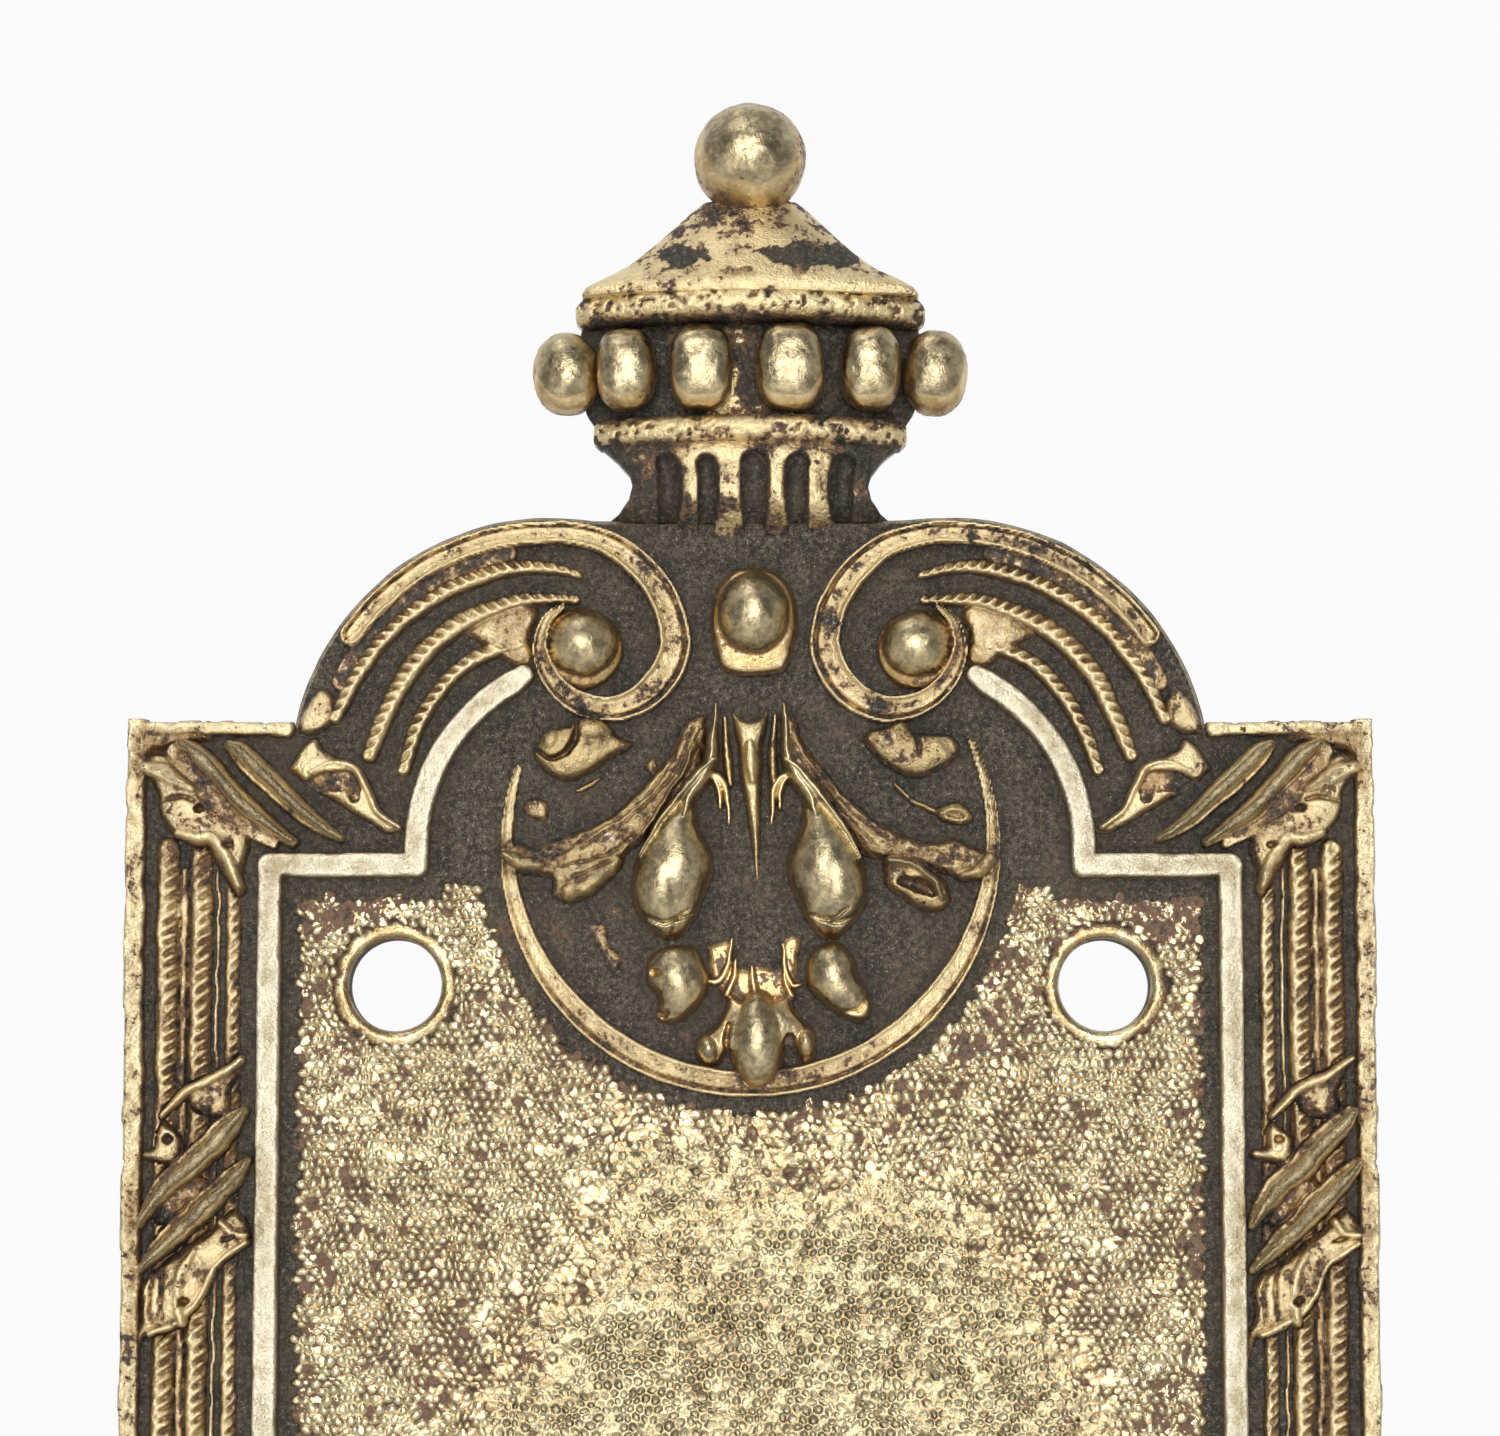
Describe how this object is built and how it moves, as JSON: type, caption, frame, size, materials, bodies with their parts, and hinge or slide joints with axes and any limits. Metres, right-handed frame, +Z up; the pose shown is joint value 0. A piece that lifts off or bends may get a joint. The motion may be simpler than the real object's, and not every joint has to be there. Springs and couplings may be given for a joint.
{
  "type": "door push plate",
  "caption": "Ornate cast brass door push plate with a stippled field, reeded and ribbon-tied sides, scrolled ends and finials, screwed flat to a door.",
  "frame": {"origin": "centre of the back face, midway between the four screw holes", "axes": "+X across the width to the right, +Z up the height of the plate, front faces -Y"},
  "size_m": [0.07, 0.0054, 0.281],
  "materials": {
    "patinated_ground": "dark matte patina in the recesses",
    "stippled_field": "stippled, gilt with dark gaps, worn towards the middle",
    "polished_fillet": "pale bright worn gilt",
    "gilt_relief": "gilt with dark patina in the hollows",
    "worn_brass": "rubbed brass with a gilt edge"
  },
  "bodies": {
    "root": {"back_plate": "patinated_ground", "field_panel": "stippled_field", "rim_left": "gilt_relief", "rim_right": "gilt_relief", "inner_fillet_left": "polished_fillet", "inner_fillet_right": "polished_fillet", "side_reeds_left": "gilt_relief", "side_reeds_right": "gilt_relief", "side_ties_left": "gilt_relief", "side_ties_right": "gilt_relief", "upper_finial_ball": "worn_brass", "lower_finial_ball": "worn_brass", "upper_finial_cap": "gilt_relief", "lower_finial_cap": "gilt_relief", "upper_crown_band": "gilt_relief", "lower_crown_band": "gilt_relief", "upper_bead_drum": "patinated_ground", "lower_bead_drum": "patinated_ground", "upper_beads": "worn_brass", "lower_beads": "worn_brass", "upper_foot_band": "gilt_relief", "lower_foot_band": "gilt_relief", "upper_fluted_neck": "gilt_relief", "lower_fluted_neck": "gilt_relief", "upper_cabochon": "worn_brass", "lower_cabochon": "worn_brass", "upper_volute_left": "gilt_relief", "upper_volute_right": "gilt_relief", "lower_volute_left": "gilt_relief", "lower_volute_right": "gilt_relief", "upper_volute_eyes": "worn_brass", "lower_volute_eyes": "worn_brass", "upper_lobe_reeds_left": "gilt_relief", "upper_lobe_reeds_right": "gilt_relief", "lower_lobe_reeds_left": "gilt_relief", "lower_lobe_reeds_right": "gilt_relief", "upper_corner_tie_left": "gilt_relief", "upper_corner_tie_right": "gilt_relief", "lower_corner_tie_left": "gilt_relief", "lower_corner_tie_right": "gilt_relief", "upper_medallion_ring": "gilt_relief", "lower_medallion_ring": "gilt_relief", "upper_frond_left": "gilt_relief", "upper_frond_right": "gilt_relief", "lower_frond_left": "gilt_relief", "lower_frond_right": "gilt_relief", "upper_curl_leaves": "gilt_relief", "lower_curl_leaves": "gilt_relief", "upper_centre_dart": "gilt_relief", "lower_centre_dart": "gilt_relief", "upper_husk_drops": "worn_brass", "lower_husk_drops": "worn_brass", "upper_buds": "worn_brass", "lower_buds": "worn_brass", "upper_base_leaf": "gilt_relief", "lower_base_leaf": "gilt_relief"}
  },
  "joints": []
}
